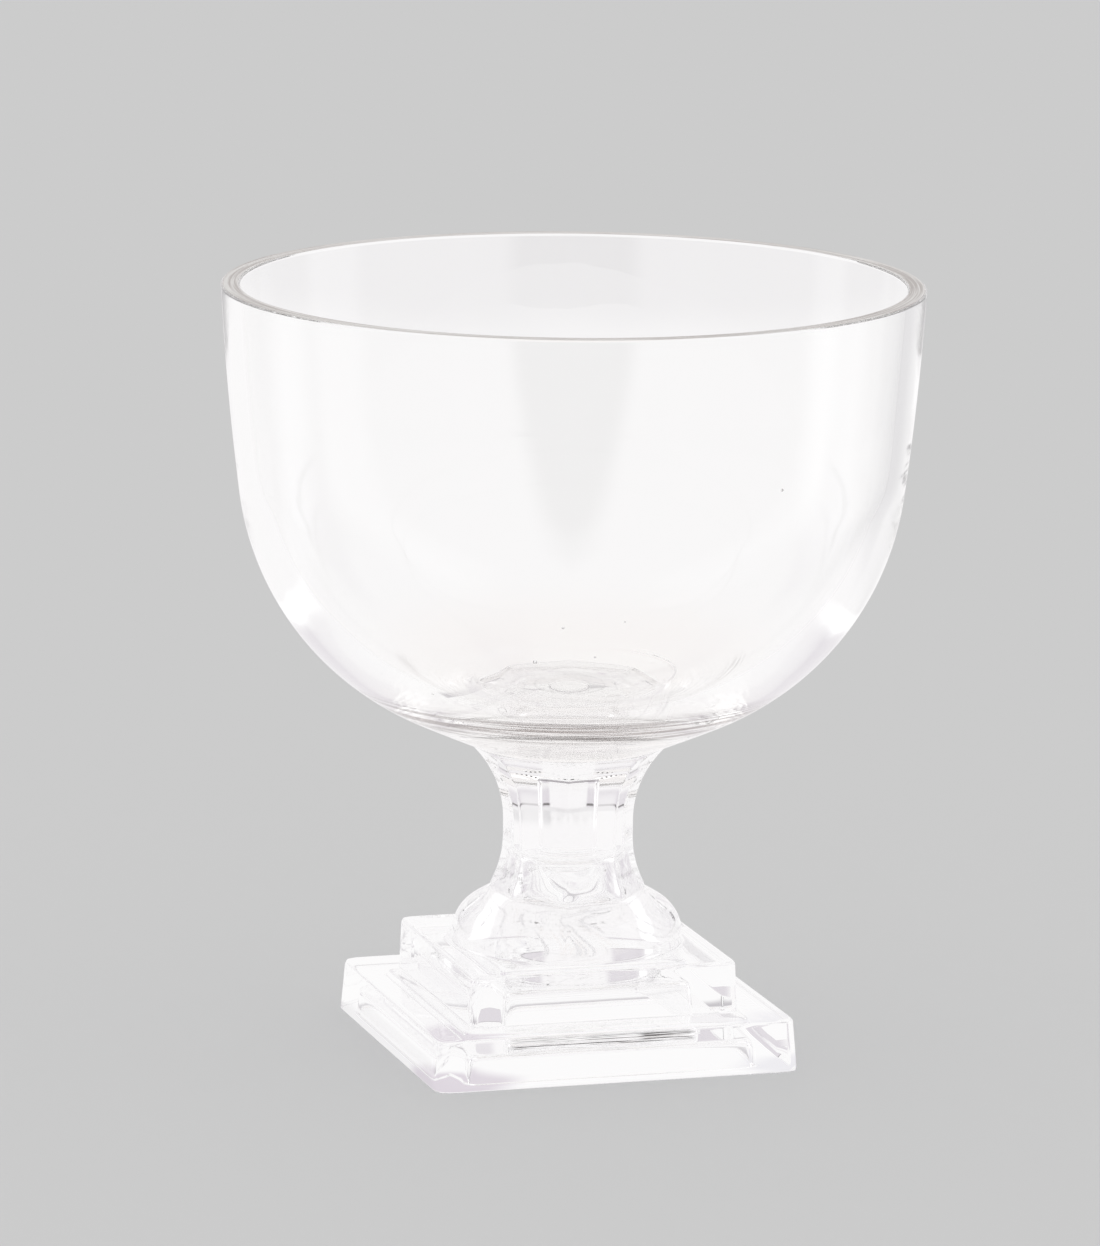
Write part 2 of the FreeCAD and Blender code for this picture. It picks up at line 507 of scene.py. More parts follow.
bowlShape = {
    "wall": 5.4 * mm,
    "arris": 0.5 * mm,
    "floor": 15 * mm,
    "seatRadius": 27 * mm,
    "floorSpotRadius": 22 * mm,
    # shares of the way out to the rim and of the way up; every second point ends an arc
    "outside": [(0.134, 0.032), (0.268, 0.065), (0.712, 0.261), (0.926, 0.552), (0.971, 0.775)],
    "inside": [(0.258, 0.016), (0.491, 0.087), (0.792, 0.293), (0.935, 0.556), (0.972, 0.778)],
    "outsideRuns": [36, 72, 6],
    "insideRuns": [8, 12, 6],
    "steps": 96,
    "poleRadius": 3 * mm,
    "seatInset": 4 * mm,
    "seatRounding": 0.15 * mm,
    "rimRounding": 0.1 * mm,
    "hold": 0.12 * mm,
    # fine turned rings of the underside, as (length, shift)
    "cordHeight": 0.035 * mm,
    "cords": [(3.1 * mm, 0.0), (4.7 * mm, 1.1), (2.2 * mm, 2.0)],
    "cordFade": (44 * mm, 62 * mm),
    # shallow dish in the floor, as (radius, rise) in mm
    "dish": [(29.5, 0.42), (28.2, 0.25), (27.2, 0.02), (26.2, -0.28),
             (25, -0.45), (22, -0.54), (14, -0.58), (3, -0.6)],
    "dishStart": 31 * mm,
    "dishShift": (5.7 * mm, -1.7 * mm),
    "dishShiftRuns": 4,
    # waves of the wall, and how they fade out to the rim and the seat as (margin, length)
    "waves": 0.14 * mm,
    "waveSize": 0.045,
    "rimFade": (8 * mm, 25 * mm),
    "seatFade": (1 * mm, 10 * mm),
    # tiny bubbles in the glass, as (x, y, z, radius) in mm
    "seeds": [(-31.9, -72.9, 127.5, 0.6), (-26.5, -81.1, 138.2, 0.36), (33.4, -87.5, 175.0, 0.42),
              (-16.7, -79.0, 129.3, 0.3), (-52.7, -44.8, 114.2, 0.4), (-10.3, -85.5, 140.0, 0.24)],
    "seedSteps": 12,
    "seedRings": 8,
    # faces that take the bond's or the ground rim's material lie this close to the seat or the top
    "seatBand": 0.01 * mm,
    "rimBand": 0.03 * mm,
    "flatNormal": 0.9,
}


def spread(shares, inner, outer, low, high):
    return [(inner + (outer - inner) * out, low + (high - low) * up) for out, up in shares]


def alongArcs(points, runs):
    stops = []
    for number, count in enumerate(runs):
        start, middle, end = points[2 * number:2 * number + 3]
        stops += alongArc(start, middle, end, count)
    return stops


def addCords(outline):
    # fine rings round the underside, which fade out up the wall
    low, high = bowlShape["cordFade"]
    cords = bowlShape["cords"]
    corded = [outline[0]]
    for number in range(1, len(outline) - 1):
        radius, height = outline[number]
        along = (Vector(outline[number + 1]) - Vector(outline[number - 1])).normalized()
        wave = sum(sin(2 * pi * radius / length + shift) for length, shift in cords) / len(cords)
        fade = min(max((high - radius) / (high - low), 0), 1)
        out = wave * fade * bowlShape["cordHeight"]
        corded.append((radius + along.y * out, height - along.x * out))
    return corded + outline[-1:]


def bowlOutline(base, floorTop, top):
    # from the seat up the outside, over the ground rim and down the inside
    shape = bowlShape
    ground = top - shape["arris"]
    rimRadius = bowlHigh.x
    innerRadius = rimRadius - shape["wall"]
    seat = (shape["seatRadius"], base)
    spot = (shape["floorSpotRadius"], floorTop)
    outside = [seat] + spread(shape["outside"], seat[0], rimRadius, base, ground)
    inside = [spot] + spread(shape["inside"], spot[0], innerRadius, floorTop, ground)
    outerWall = addCords(alongArcs(outside + [(rimRadius, ground)], shape["outsideRuns"]))[:-1]
    innerWall = alongArcs(inside + [(innerRadius, ground)], shape["insideRuns"])[:-1]
    rounding = shape["rimRounding"]
    corners = [(seat[0] - shape["seatInset"], base, 0), (*seat, shape["seatRounding"])]
    corners += [(radius, height, 0) for radius, height in outerWall]
    corners += [(rimRadius, ground, rounding), (rimRadius - shape["arris"], top, rounding)]
    corners += [(innerRadius + shape["arris"], top, rounding), (innerRadius, ground, rounding)]
    corners += [(radius, height, 0) for radius, height in innerWall[::-1] if radius > shape["dishStart"]]
    return roundedOutline(corners, hold=shape["hold"])


def pullDish(last, floorTop):
    # the dish lies a little off the middle, as blown glass has it
    lastRadius, lastHeight = last
    shiftX, shiftY = bowlShape["dishShift"]
    centre = Vector((0, 0, lastHeight))
    for number, (radius, rise) in enumerate(bowlShape["dish"], start=1):
        share = min(number / bowlShape["dishShiftRuns"], 1)
        target = Vector((shiftX * share, shiftY * share, floorTop + rise * mm))
        bpy.ops.mesh.extrude_region_move(TRANSFORM_OT_translate={"value": target - centre})
        size = radius * mm / lastRadius
        bpy.ops.transform.resize(value=(size, size, 1), center_override=target)
        lastRadius, centre = radius * mm, target


def addSeeds():
    # edit mode: the bubbles' faces point into them
    for x, y, z, radius in bowlShape["seeds"]:
        bpy.ops.mesh.select_all(action="DESELECT")
        bpy.ops.mesh.primitive_uv_sphere_add(
            segments=bowlShape["seedSteps"], ring_count=bowlShape["seedRings"],
            radius=radius * mm, location=(x * mm, y * mm, z * mm))
        bpy.ops.mesh.flip_normals()


def makeWavy(bowl, low, high):
    # blown walls are never quite even; the rim and the seat stay true
    group = bowl.vertex_groups.new(name="wall")
    rimMargin, rimLength = bowlShape["rimFade"]
    seatMargin, seatLength = bowlShape["seatFade"]
    for vertex in bowl.data.vertices:
        below = min(max((high - rimMargin - vertex.co.z) / rimLength, 0), 1)
        above = min(max((vertex.co.z - low - seatMargin) / seatLength, 0), 1)
        if below * above > 0:
            group.add([vertex.index], below * above, "REPLACE")
    clouds = bpy.data.textures.new("wallWaves", "CLOUDS")
    clouds.noise_scale = bowlShape["waveSize"]
    waves = bowl.modifiers.new("waves", "DISPLACE")
    waves.texture = clouds
    waves.vertex_group = "wall"
    waves.strength = bowlShape["waves"]
    bpy.ops.object.modifier_apply(modifier="waves")


def makeBowl():
    shape = bowlShape
    top, base = bowlHigh.z, bowlLow.z
    floorTop = base + shape["floor"]
    startPiece()
    bpy.ops.mesh.primitive_circle_add(vertices=shape["steps"], radius=shape["poleRadius"],
                                      location=(0, 0, base), fill_type="NOTHING")
    bowl = bpy.context.object
    bowl.name = "bowlShell"
    startEdges()
    last = pullRings(bowlOutline(base, floorTop, top), (shape["poleRadius"], base))
    pullDish(last, floorTop)
    closeShell()
    addSeeds()
    bpy.ops.object.mode_set(mode="OBJECT")
    subdivideSmooth(bowl)
    makeWavy(bowl, base, top)
    bpy.ops.object.shade_smooth()
    for material in (bowlGlass, contactGlass, groundGlass):
        bowl.data.materials.append(material)
    for face in bowl.data.polygons:
        if abs(face.center.z - base) < shape["seatBand"] and face.normal.z < -shape["flatNormal"]:
            face.material_index = 1
        if face.center.z > top - shape["rimBand"]:
            face.material_index = 2
    finishPiece(bowl, "bowl")
    return bowl


# Foot

footShape = {
    # stem
    "facets": 8,
    "facetTurn": radians(5.7),
    "arrisRounding": 0.55 * mm,
    "arrisRuns": 2,
    "facetCuts": 7,
    "longEdge": 4 * mm,  # edges of a loose ring that are cut
    "flangeRadius": 28 * mm,
    "flangeLand": 0.8 * mm,
    "flangeArris": 0.12 * mm,
    "waistRadius": 18.8 * mm,
    "waistTop": 65 * mm,
    "waistBottom": 60 * mm,
    "stemRootRadius": 25.3 * mm,
    "stemRoot": 42 * mm,
    # rings of the stem and the bell: under the top, from the end of the land, and heights in mm
    "topRings": [0.12 * mm, 0.35 * mm],
    "landRings": [0.12 * mm, -0.12 * mm, -0.6 * mm],
    "stemRings": [84.6, 83, 81, 79, 77, 75, 73, 71, 69, 67, 65, 62.5, 60, 58, 56, 54, 52, 50.4, 49, 48,
                  47.2, 46.6, 46, 45.5, 45, 44.5, 44, 43.5, 43, 42.2, 41.2, 40, 38.6, 37.2, 35.8, 34.4,
                  33, 31.8, 30.6],
    # the facets run out into the round bell between these heights
    "fadeTop": 47.4 * mm,
    "fadeBottom": 43.2 * mm,
    "fadeBlend": 0.15 * mm,
    # bell
    "bellRadius": 33.3 * mm,
    "bellSide": 2.3 * mm,
    "bellShoulder": 11.5 * mm,
    "bellSlope": radians(60),
    "bellThroat": 8 * mm,
    "bellNeck": 17.2 * mm,
    "bellFillet": [(0, 1.6), (0, 1), (0.3, 0.3), (1, 0)],  # shares of the fillet, out and up
    # plinth
    "lowerHalf": 53.7 * mm,
    "lowerHeight": 14.9 * mm,
    "lowerDraft": radians(4.2),
    "upperHalf": 39.7 * mm,
    "upperHeight": 14.6 * mm,
    "upperDraft": radians(2),
    "corner": 3.2 * mm,
    "cornerRuns": 4,
    "stepEdge": 1.0 * mm,
    "footEdge": 0.6 * mm,
    "innerFillet": 0.4 * mm,
    # hollow
    "plinthWall": 11 * mm,
    "stepGlass": 6.9 * mm,
    "pocketDraft": radians(4),
    "pocketCorner": 3 * mm,
    "pocketEdge": 1.8 * mm,
    "landEdge": 0.3 * mm,
    "hollowEdge": 0.5 * mm,
    "domeMouth": 23 * mm,
    "domeTopRadius": 13 * mm,
    "domeTop": 56 * mm,
    "domeShoulder": 4 * mm,
    "domeStops": (0.25, 0.5),
    "bore": 6.2 * mm,
    "boreGlass": 4 * mm,
    "boreEdge": 2 * mm,
    "boreRuns": 6,
    "boreCap": (0.7, 0.25),
    "bendRuns": 5,
    "boreHold": 0.25 * mm,
    "sameHeight": 0.02 * mm,  # open rings that lie this close in height are bridged
    # how far past its edge an outline starts or ends, where it is bridged to the next
    "stepLaps": (3 * mm, 1.2 * mm),
    "landLaps": (2 * mm, 1.2 * mm),
    "pocketLaps": (3 * mm, 1.6 * mm),
    "domeLaps": (1.9 * mm, 1.2 * mm),
    # faces that take the bond's material, and those of the frosted edge with painted shade at the end of
    # the bore
    "topBand": 0.01 * mm,
    "topNormal": 0.9,
    "frostSlack": 0.1 * mm,
    "frostNormal": 0.6,
}

stepTop = footShape["lowerHeight"] + footShape["upperHeight"]
ringCount = footShape["facets"] * (footShape["arrisRuns"] + 1 + footShape["facetCuts"])
squareCuts = (ringCount - 4 * (footShape["cornerRuns"] + 1)) // 4


def cutLongEdges(piece, cuts):
    # cuts the long straight edges of the one loose ring, then selects all of it
    selectEdges(piece.data, lambda edge: edge.is_wire and edge.calc_length() > footShape["longEdge"])
    bpy.ops.mesh.subdivide(number_cuts=cuts)
    selectEdges(piece.data, lambda edge: edge.is_wire)


def pullSquare(piece, corners, corner):
    # a rounded square ring at the first corner of the outline, pulled along it
    outline = roundedOutline(corners)
    half, height = outline[0]
    bpy.ops.mesh.select_all(action="DESELECT")
    bpy.ops.mesh.primitive_plane_add(size=2 * half, location=(0, 0, height))
    bpy.ops.mesh.delete(type="ONLY_FACE")
    bpy.ops.mesh.bevel(offset=corner, offset_type="OFFSET", segments=footShape["cornerRuns"],
                       affect="VERTICES")
    cutLongEdges(piece, squareCuts)
    pullRings(outline[1:], outline[0])


def bridgeAt(piece, height):
    # joins the two open rings that lie at this height
    selectEdges(piece.data, lambda edge: edge.is_boundary
                and all(abs(vertex.co.z - height) < footShape["sameHeight"] for vertex in edge.verts))
    bpy.ops.mesh.bridge_edge_loops()


def flareRadius(height, waistHeight, end, endHeight):
    # radius along an arc that leaves the waist upright and opens to its end
    waist = footShape["waistRadius"]
    rise = abs(endHeight - waistHeight)
    turn = 2 * atan2(end - waist, rise)
    bend = rise / sin(turn)
    way = min(abs(height - waistHeight), rise)
    return waist + bend - sqrt(bend * bend - way * way)


def stemRadiusAt(height):
    shape = footShape
    land = footHigh.z - shape["flangeLand"]
    if height >= land:
        return shape["flangeRadius"]
    if height >= shape["waistTop"]:
        return flareRadius(height, shape["waistTop"], shape["flangeRadius"], land)
    if height >= shape["waistBottom"]:
        return shape["waistRadius"]
    return flareRadius(height, shape["waistBottom"], shape["stemRootRadius"], shape["stemRoot"])


def bellRadiusAt(height):
    # an upright side, a round shoulder, a straight slope and a round throat
    shape = footShape
    slope, shoulder, throat = shape["bellSlope"], shape["bellShoulder"], shape["bellThroat"]
    sideTop = stepTop + shape["bellSide"]
    shoulderX = shape["bellRadius"] - shoulder
    throatX = shape["bellNeck"] + throat
    slopeStartX, slopeStartZ = shoulderX + shoulder * cos(slope), sideTop + shoulder * sin(slope)
    slopeEndX = throatX - throat * cos(slope)
    slopeEndZ = slopeStartZ + (slopeStartX - slopeEndX) / tan(slope)
    neckZ = slopeEndZ + throat * sin(slope)
    if height <= sideTop:
        return shape["bellRadius"]
    if height <= slopeStartZ:
        return shoulderX + sqrt(shoulder ** 2 - (height - sideTop) ** 2)
    if height <= slopeEndZ:
        return slopeStartX - (height - slopeStartZ) * tan(slope)
    if height <= neckZ:
        return throatX - sqrt(throat ** 2 - (neckZ - height) ** 2)
    return shape["bellNeck"]


def pullStem(meanShare):
    # the stem's facets, which fade into the round bell
    shape = footShape
    top = footHigh.z
    land = top - shape["flangeLand"]
    heights = [top - under for under in shape["topRings"]] + [land + over for over in shape["landRings"]]
    heights += [height * mm for height in shape["stemRings"]]
    last, lastFade = (stemRadiusAt(top) * meanShare, top), 0
    for height in heights:
        fade = (shape["fadeTop"] - height) / (shape["fadeTop"] - shape["fadeBottom"])
        fade = min(max(fade, 0), 1)
        fade = fade * fade * (3 - 2 * fade)
        facetMean = stemRadiusAt(height) * meanShare
        bellMean = bellRadiusAt(height)
        if fade <= 0:
            mean = facetMean
        elif fade >= 1:
            mean = bellMean
        else:
            apart = facetMean - bellMean
            mean = (facetMean + bellMean + sqrt(apart * apart + shape["fadeBlend"] ** 2)) / 2
        last = pullRing(last, mean, height)
        if fade > lastFade:
            bpy.ops.transform.tosphere(value=1 - (1 - fade) / (1 - lastFade))
        lastFade = fade
    return last


def pullStemAndBell(foot):
    shape = footShape
    bpy.ops.mesh.bevel(offset=shape["arrisRounding"], offset_type="OFFSET", segments=shape["arrisRuns"],
                       affect="VERTICES")
    cutLongEdges(foot, shape["facetCuts"])
    ring = bmesh.from_edit_mesh(foot.data)
    radii = [hypot(vertex.co.x, vertex.co.y) for vertex in ring.verts]
    print("facet ring", len(radii), "of", ringCount)
    meanShare = sum(radii) / len(radii) / (shape["flangeRadius"] - shape["flangeArris"])
    last = pullStem(meanShare)

    # a small fillet where the bell stands on the plinth
    radius, fillet = shape["bellRadius"], shape["innerFillet"]
    pullRings([(radius + out * fillet, stepTop + up * fillet) for out, up in shape["bellFillet"]], last)


def pullPlinth(foot):
    # both steps, and the land that the foot stands on
    shape = footShape
    lowerTop = shape["lowerHeight"]
    inner, outer = shape["stepLaps"]
    upperTopHalf = shape["upperHalf"] - shape["upperHeight"] * tan(shape["upperDraft"])
    pullSquare(foot, [(upperTopHalf - inner, stepTop, 0), (upperTopHalf, stepTop, shape["stepEdge"]),
                      (shape["upperHalf"], lowerTop, shape["innerFillet"]),
                      (shape["upperHalf"] + outer, lowerTop, 0)], shape["corner"])
    lowerTopHalf = shape["lowerHalf"] - lowerTop * tan(shape["lowerDraft"])
    landHalf = shape["lowerHalf"] - shape["plinthWall"]
    pullSquare(foot, [(lowerTopHalf - inner, lowerTop, 0), (lowerTopHalf, lowerTop, shape["stepEdge"]),
                      (shape["lowerHalf"], 0, shape["footEdge"]),
                      (landHalf + shape["landLaps"][0], 0, 0)], shape["corner"])


def pullPockets(foot, pocketTop, upperPocketTop):
    # the two square steps of the hollow
    shape = footShape
    lean, edge = tan(shape["pocketDraft"]), shape["pocketEdge"]
    landHalf = shape["lowerHalf"] - shape["plinthWall"]
    lowerTopHalf = landHalf - pocketTop * lean
    upperHalf = shape["upperHalf"] - shape["plinthWall"]
    upperTopHalf = upperHalf - (upperPocketTop - pocketTop) * lean
    outer, inner = shape["pocketLaps"]
    pullSquare(foot, [(landHalf + shape["landLaps"][1], 0, 0), (landHalf, 0, shape["landEdge"]),
                      (lowerTopHalf, pocketTop, edge), (upperHalf + outer, pocketTop, 0)],
               shape["pocketCorner"])
    pullSquare(foot, [(upperHalf + inner, pocketTop, 0), (upperHalf, pocketTop, shape["hollowEdge"]),
                      (upperTopHalf, upperPocketTop, edge),
                      (shape["domeMouth"] + shape["domeLaps"][0], upperPocketTop, 0)],
               shape["pocketCorner"])


def bendCorners(centreX, centreZ, radius, firstStep):
    # stops up a quarter bend
    runs = footShape["bendRuns"]
    angles = [radians(90 * step / runs) for step in range(firstStep, runs + 1)]
    return [(centreX + radius * cos(angle), centreZ + radius * sin(angle), 0) for angle in angles]


def pullDome(upperPocketTop, tip):
    # the round end of the hollow: a dome under the bell and the bore up the stem
    shape = footShape
    mouth, domeTop, bore, edge = shape["domeMouth"], shape["domeTop"], shape["bore"], shape["boreEdge"]
    corners = [(mouth + shape["domeLaps"][1], upperPocketTop, 0)]
    corners.append((mouth, upperPocketTop, shape["hollowEdge"]))
    for share in shape["domeStops"]:
        corners.append((mouth * (1 - share) + shape["domeTopRadius"] * share,
                        upperPocketTop * (1 - share) + domeTop * share, 0))
    shoulder = shape["domeShoulder"]
    corners.append((shape["domeTopRadius"], domeTop - shoulder, 0))
    corners += bendCorners(shape["domeTopRadius"] - shoulder, domeTop - shoulder, shoulder, 1)
    corners.append((bore, domeTop, shape["hollowEdge"]))
    runs = shape["boreRuns"]
    corners += [(bore, domeTop + (tip - edge - domeTop) * part / runs, 0) for part in range(1, runs)]
    corners += bendCorners(bore - edge, tip - edge, edge, 0)
    corners += [((bore - edge) * share, tip, 0) for share in shape["boreCap"]]
    outline = roundedOutline(corners, hold=shape["boreHold"])
    bpy.ops.mesh.select_all(action="DESELECT")
    bpy.ops.mesh.primitive_circle_add(vertices=ringCount, radius=outline[0][0],
                                      location=(0, 0, upperPocketTop), fill_type="NOTHING")
    pullRings(outline[1:], outline[0])


def makeFoot():
    shape = footShape
    pocketTop = shape["lowerHeight"] - shape["stepGlass"]
    upperPocketTop = stepTop - shape["stepGlass"]
    tip = footHigh.z - shape["boreGlass"]
    startPiece()
    topRadius = shape["flangeRadius"] - shape["flangeArris"]
    bpy.ops.mesh.primitive_circle_add(vertices=shape["facets"], radius=topRadius,
                                      location=(0, 0, footHigh.z), fill_type="NOTHING",
                                      rotation=(0, 0, shape["facetTurn"] + pi / shape["facets"]))
    foot = bpy.context.object
    foot.name = "footBody"
    startEdges()
    pullStemAndBell(foot)
    pullPlinth(foot)
    pullPockets(foot, pocketTop, upperPocketTop)
    pullDome(upperPocketTop, tip)
    for height in (stepTop, shape["lowerHeight"], 0, pocketTop, upperPocketTop):
        bridgeAt(foot, height)
    closeShell()
    bpy.ops.object.mode_set(mode="OBJECT")
    subdivideSmooth(foot)
    bpy.ops.object.shade_smooth()
    flats = foot.modifiers.new("flats", "WEIGHTED_NORMAL")
    flats.weight = 100
    bpy.ops.object.modifier_apply(modifier="flats")
    paintFoot(foot, tip)
    finishPiece(foot, "foot")
    return foot


def paintFoot(foot, tip):
    # the top takes the bond's material, and the rounded edge at the bore's end is frosted and painted dark
    # as shade
    shape = footShape
    for material in (footGlass, contactGlass, frostShadeGlass):
        foot.data.materials.append(material)
    inner, outer = shape["bore"] - shape["boreEdge"], shape["bore"] + shape["frostSlack"]
    for face in foot.data.polygons:
        out, height, slope = hypot(face.center.x, face.center.y), face.center.z, face.normal.z
        if height > footHigh.z - shape["topBand"] and slope > shape["topNormal"]:
            face.material_index = 1
        elif inner < out < outer and height > tip - shape["boreEdge"] and abs(slope) < shape["frostNormal"]:
            face.material_index = 2


# Bond between the bowl and the foot

bondShape = {"steps": 128}


def makeBond():
    startPiece()
    low, high = bondLow.z, bondHigh.z
    bpy.ops.mesh.primitive_cylinder_add(vertices=bondShape["steps"], radius=bondHigh.x, depth=high - low,
                                        location=(0, 0, (low + high) / 2))
    bond = bpy.context.object
    bond.name = "bondFilm"
    bpy.ops.object.transform_apply(location=True, rotation=True, scale=True)
    bond.data.materials.append(contactGlass)
    finishPiece(bond, "bond_film")
    return bond


bowl = makeBowl()
print("bowl", len(bowl.data.polygons), "faces")
foot = makeFoot()
print("foot", len(foot.data.polygons), "faces")
bond = makeBond()
print("pieces ready")


# Room: what rays see once they have met the glass. It stands still when the camera moves. Sides are in
# degrees from the photo's side, as (side, inner, outer) where they fade, and heights of the sky are in
# degrees over the floor.

room = {
    "cameraSide": -106.8,
    "white": (0.972, 0.96, 0.964, 1),
    "lampColor": (1.25, 1.245, 1.255, 1),
    "lamps": [(96, 9, 17), (-104, 5, 12)],
    "lampTop": (60, 75),
    "lampStart": (0.25, 0.4),
    # grey wall low behind the object, and the thin dark line at its foot
    "wallColor": (0.74, 0.705, 0.745, 1),
    "wallHalfWidth": (58, 74),
    "wallTop": (14, 26),
    "lineColor": (0.12, 0.11, 0.11, 1),
    "lineHeights": (0.5, 1.3, 2.2, 3.4),
    "lineHalfWidth": (56, 68),
    "wallGap": (24, 32),  # half width of a gap in both, straight behind the object
    # floor: near and far, the shade close round the plinth, and the dark wedge on the camera's side
    "nearFloor": (0.985, 0.98, 0.981, 1),
    "nearRadius": (0.06, 0.22),
    "farFloor": (0.885, 0.872, 0.88, 1),
    "farRadius": (1.18, 1.34),
    "contactColor": (0.56, 0.54, 0.565, 1),
    "contactReach": (0.0528, 0.0540, 0.0560, 0.0620),
    "wedgeColor": (0.06, 0.055, 0.05, 1),
    "wedgeHalfWidth": (17, 27),
    "wedgeSlant": 1.56,
    "wedgeStart": (0.28, 0.44),
    # soft shades on the floor, as (side, distances, color)
    "shades": [((-32, 9, 20), (0.040, 0.052, 0.10, 0.17), (0.74, 0.69, 0.745, 1)),
               ((68, 5, 14), (0.050, 0.062, 0.10, 0.16), (0.86, 0.85, 0.88, 1)),
               ((137, 10, 24), (0.28, 0.42, 1.1, 1.5), (0.78, 0.77, 0.78, 1))],
}


def makeSideGroup():
    # how near a place or a direction lies to one side of the room, seen from above
    inputs = {"Vector": "Vector", "Side": "Float", "Inner": "Float", "Outer": "Float"}
    outputs = {"Mask": "Float", "Ahead": "Float", "Aside": "Float"}
    group, nodes, links, given, result = newGroup("roomSide", inputs, outputs)
    turned = nodes.new("ShaderNodeVectorRotate")
    turned.rotation_type = "Z_AXIS"
    links.new(given["Vector"], turned.inputs["Vector"])
    links.new(times(nodes, links, given["Side"], -pi / 180), turned.inputs["Angle"])
    parts = splitXYZ(nodes, links, turned.outputs["Vector"])
    angle = mathNode(nodes, links, "ARCTAN2", parts["Y"], parts["X"])
    degreesAway = times(nodes, links, mathNode(nodes, links, "ABSOLUTE", angle), 180 / pi)
    mask = nodes.new("ShaderNodeMapRange")
    mask.interpolation_type = "SMOOTHSTEP"
    links.new(degreesAway, mask.inputs["Value"])
    links.new(given["Inner"], mask.inputs["From Min"])
    links.new(given["Outer"], mask.inputs["From Max"])
    mask.inputs["To Min"].default_value = 1
    mask.inputs["To Max"].default_value = 0
    links.new(mask.outputs["Result"], result["Mask"])
    links.new(parts["X"], result["Ahead"])
    links.new(mathNode(nodes, links, "ABSOLUTE", parts["Y"]), result["Aside"])
    return group


sideGroup = makeSideGroup()


def atSide(nodes, links, vector, side, inner, outer):
    node = nodes.new("ShaderNodeGroup")
    node.node_tree = sideGroup
    links.new(vector, node.inputs["Vector"])
    node.inputs["Side"].default_value = room["cameraSide"] + side
    node.inputs["Inner"].default_value = inner
    node.inputs["Outer"].default_value = outer
    return node.outputs


def addLamps(nodes, links, place, reach, color):
    # a tall soft lamp on each side, which goes on from the sky to the floor
    for lamp in room["lamps"]:
        beside = atSide(nodes, links, place, *lamp)["Mask"]
        color = mixColor(nodes, links, times(nodes, links, reach, beside), color, room["lampColor"])
    return color


def throughGlass(nodes, links):
    # rays that have met the glass before they come here
    light = nodes.new("ShaderNodeLightPath").outputs
    return mathNode(nodes, links, "MAXIMUM", light["Is Glossy Ray"], light["Is Transmission Ray"])


def roomFloorColor(nodes, links):
    # the floor's glow for rays through the glass: painted light and shade of the room
    place = nodes.new("ShaderNodeTexCoord").outputs["Object"]
    distance = wayOut(nodes, links, place)
    near = mapRange(nodes, links, distance, *room["nearRadius"], 0, 1)
    color = mixColor(nodes, links, near, room["nearFloor"], room["white"])
    far = mapRange(nodes, links, distance, *room["farRadius"], 0, 1)
    color = mixColor(nodes, links, far, color, room["farFloor"])
    for side, reach, shadeColor in room["shades"]:
        mask = atSide(nodes, links, place, *side)["Mask"]
        shade = times(nodes, links, mask, between(nodes, links, distance, reach))
        color = mixColor(nodes, links, shade, color, shadeColor)
    lampReach = mapRange(nodes, links, distance, *room["lampStart"], 0, 1)
    color = addLamps(nodes, links, place, lampReach, color)

    # the shade close round the plinth is square as the plinth is
    parts = splitXYZ(nodes, links, place)
    outwards = [mathNode(nodes, links, "ABSOLUTE", parts[name]) for name in ("X", "Y")]
    square = mathNode(nodes, links, "MAXIMUM", *outwards)
    shade = between(nodes, links, square, room["contactReach"])
    color = mixColor(nodes, links, shade, color, room["contactColor"])

    # the dark wedge opens away from the object, towards the camera's side
    side = atSide(nodes, links, place, 0, *room["wedgeHalfWidth"])
    slant = times(nodes, links, side["Aside"], room["wedgeSlant"])
    ahead = mathNode(nodes, links, "SUBTRACT", side["Ahead"], slant)
    wedge = times(nodes, links, side["Mask"], mapRange(nodes, links, ahead, *room["wedgeStart"], 0, 1))
    return mixColor(nodes, links, wedge, color, room["wedgeColor"])


def roomSkyColor(nodes, links):
    place = nodes.new("ShaderNodeTexCoord").outputs["Generated"]
    up = mathNode(nodes, links, "ARCTAN2", splitXYZ(nodes, links, place)["Z"], wayOut(nodes, links, place))
    height = times(nodes, links, up, 180 / pi)
    gap = atSide(nodes, links, place, 180, *room["wallGap"])["Mask"]
    wall = atSide(nodes, links, place, 180, *room["wallHalfWidth"])["Mask"]
    wall = mathNode(nodes, links, "SUBTRACT", wall, gap)
    wall = times(nodes, links, wall, mapRange(nodes, links, height, *room["wallTop"], 1, 0))
    color = mixColor(nodes, links, wall, room["white"], room["wallColor"])
    line = atSide(nodes, links, place, 180, *room["lineHalfWidth"])["Mask"]
    line = mathNode(nodes, links, "SUBTRACT", line, gap)
    line = times(nodes, links, line, between(nodes, links, height, room["lineHeights"]))
    color = mixColor(nodes, links, line, color, room["lineColor"])
    lampReach = mapRange(nodes, links, height, *room["lampTop"], 1, 0)
    return addLamps(nodes, links, place, lampReach, color)


# Floor, light and camera

studio = {
    "floorSize": 40,
    "floorColor": (0.604, 0.604, 0.604, 1),
    "backdrop": 0.604,
    "skyLight": 1.0,
    "skyColor": (1, 1, 1, 1),
    "bounces": 64,  # with fewer, the thick glass has dark crescents at its outline
    "clearBounces": 32,
}

cameraPlace = {
    "location": (-0.6847, -2.2665, 0.5911),
    "turn": -16.67,
    "down": 11.207,
    "roll": 0.61,
    "lens": 244.37,
    "sensorWidth": 36,
    "farthest": 60,
}


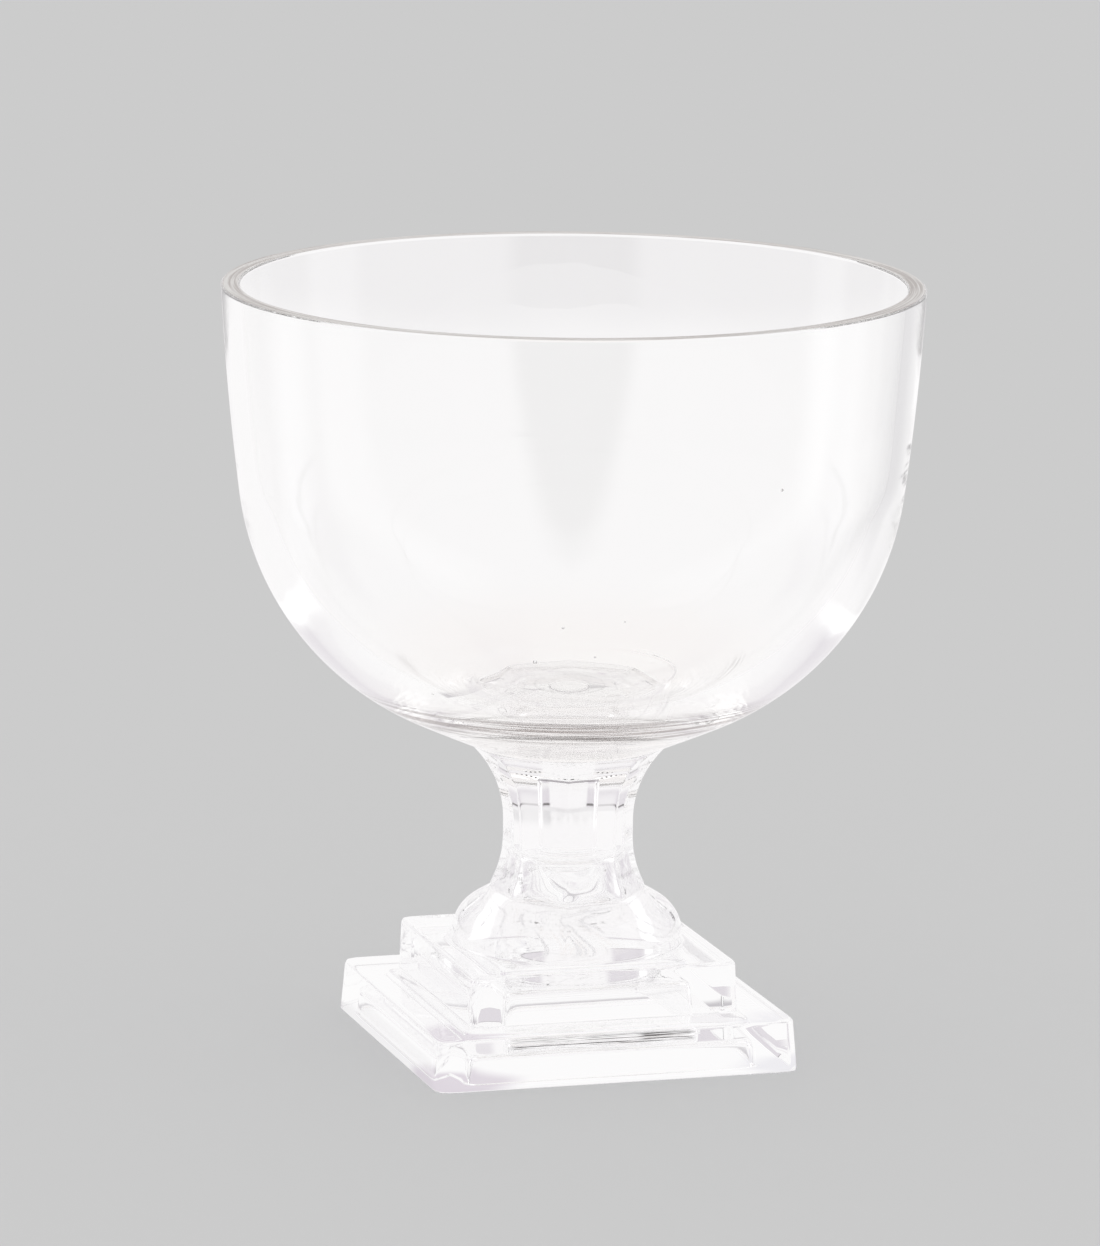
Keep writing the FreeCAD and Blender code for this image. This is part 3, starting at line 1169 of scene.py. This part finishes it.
def makeFloor():
    bpy.ops.mesh.primitive_plane_add(size=studio["floorSize"], location=(0, 0, 0))
    floor = bpy.context.object
    floor.name = "floor"
    material, nodes, links = newMaterial("floorPaper")
    matt = addNode(nodes, "ShaderNodeBsdfDiffuse", Color=studio["floorColor"])
    # rays through the glass see the floor glow with the room's painted light and shade; the camera sees it
    # matt and lit
    seen = addNode(nodes, "ShaderNodeEmission", Strength=1.0)
    links.new(roomFloorColor(nodes, links), seen.inputs["Color"])
    met = throughGlass(nodes, links)
    setSurface(nodes, links, mixShaders(nodes, links, met, matt.outputs[0], seen.outputs[0]))
    floor.data.materials.append(material)


def makeSky():
    world = bpy.data.worlds.new("sky")
    bpy.context.scene.world = world
    world.use_nodes = True
    nodes, links = world.node_tree.nodes, world.node_tree.links
    nodes.clear()
    kind = "ShaderNodeBackground"
    backdrop = addNode(nodes, kind, Color=studio["skyColor"], Strength=studio["backdrop"])
    light = addNode(nodes, kind, Color=studio["skyColor"], Strength=studio["skyLight"])
    seen = addNode(nodes, kind, Strength=1.0)
    links.new(roomSkyColor(nodes, links), seen.inputs["Color"])
    straight = nodes.new("ShaderNodeLightPath").outputs["Is Camera Ray"]
    plain = mixShaders(nodes, links, straight, light.outputs[0], backdrop.outputs[0])
    every = mixShaders(nodes, links, throughGlass(nodes, links), plain, seen.outputs[0])
    setSurface(nodes, links, every, "ShaderNodeOutputWorld")


def makeCamera():
    data = bpy.data.cameras.new("camera")
    data.lens = cameraPlace["lens"]
    data.sensor_width = cameraPlace["sensorWidth"]
    data.clip_end = cameraPlace["farthest"]
    camera = bpy.data.objects.new("camera", data)
    bpy.context.collection.objects.link(camera)
    camera.location = cameraPlace["location"]
    turns = ((cameraPlace["turn"], "Z"), (90 - cameraPlace["down"], "X"), (cameraPlace["roll"], "Z"))
    turn, tilt, roll = [Matrix.Rotation(radians(angle), 4, axis) for angle, axis in turns]
    camera.rotation_euler = (turn @ tilt @ roll).to_euler()
    bpy.context.scene.camera = camera


startPiece()
makeFloor()
makeSky()
makeCamera()

scene = bpy.context.scene
scene.view_settings.view_transform = "Standard"
scene.cycles.max_bounces = studio["bounces"]
scene.cycles.transmission_bounces = studio["bounces"]
scene.cycles.glossy_bounces = studio["bounces"]
scene.cycles.transparent_max_bounces = studio["clearBounces"]
print("studio ready")
